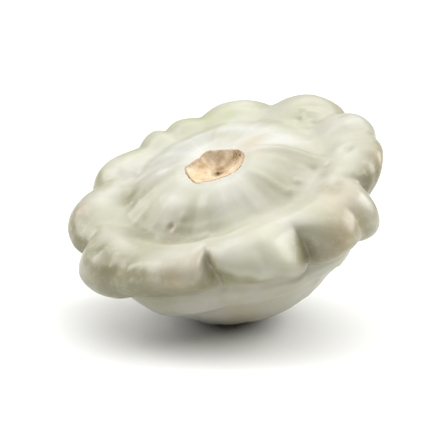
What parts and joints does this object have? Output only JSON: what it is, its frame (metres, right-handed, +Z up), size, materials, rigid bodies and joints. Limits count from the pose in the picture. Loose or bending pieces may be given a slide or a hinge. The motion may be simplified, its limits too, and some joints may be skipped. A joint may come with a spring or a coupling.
{
  "type": "pattypan squash",
  "caption": "whole white pattypan squash with a scalloped rim, a domed top with a dry stalk scar and a deep rounded belly, lying tipped over on the side of its belly",
  "frame": {"origin": "middle of the small flat spot on the belly that the squash lies on", "axes": "+Z up from the surface it lies on; the stalk end leans over between -X and -Y, a little more towards -Y"},
  "size_m": [0.1235, 0.1238, 0.0816],
  "materials": {
    "skin": "pale green-white squash rind, thin natural wax, satin; the stalk scar is dry tan cork"
  },
  "bodies": {
    "root": {"pattypan_squash": "skin"}
  },
  "joints": []
}
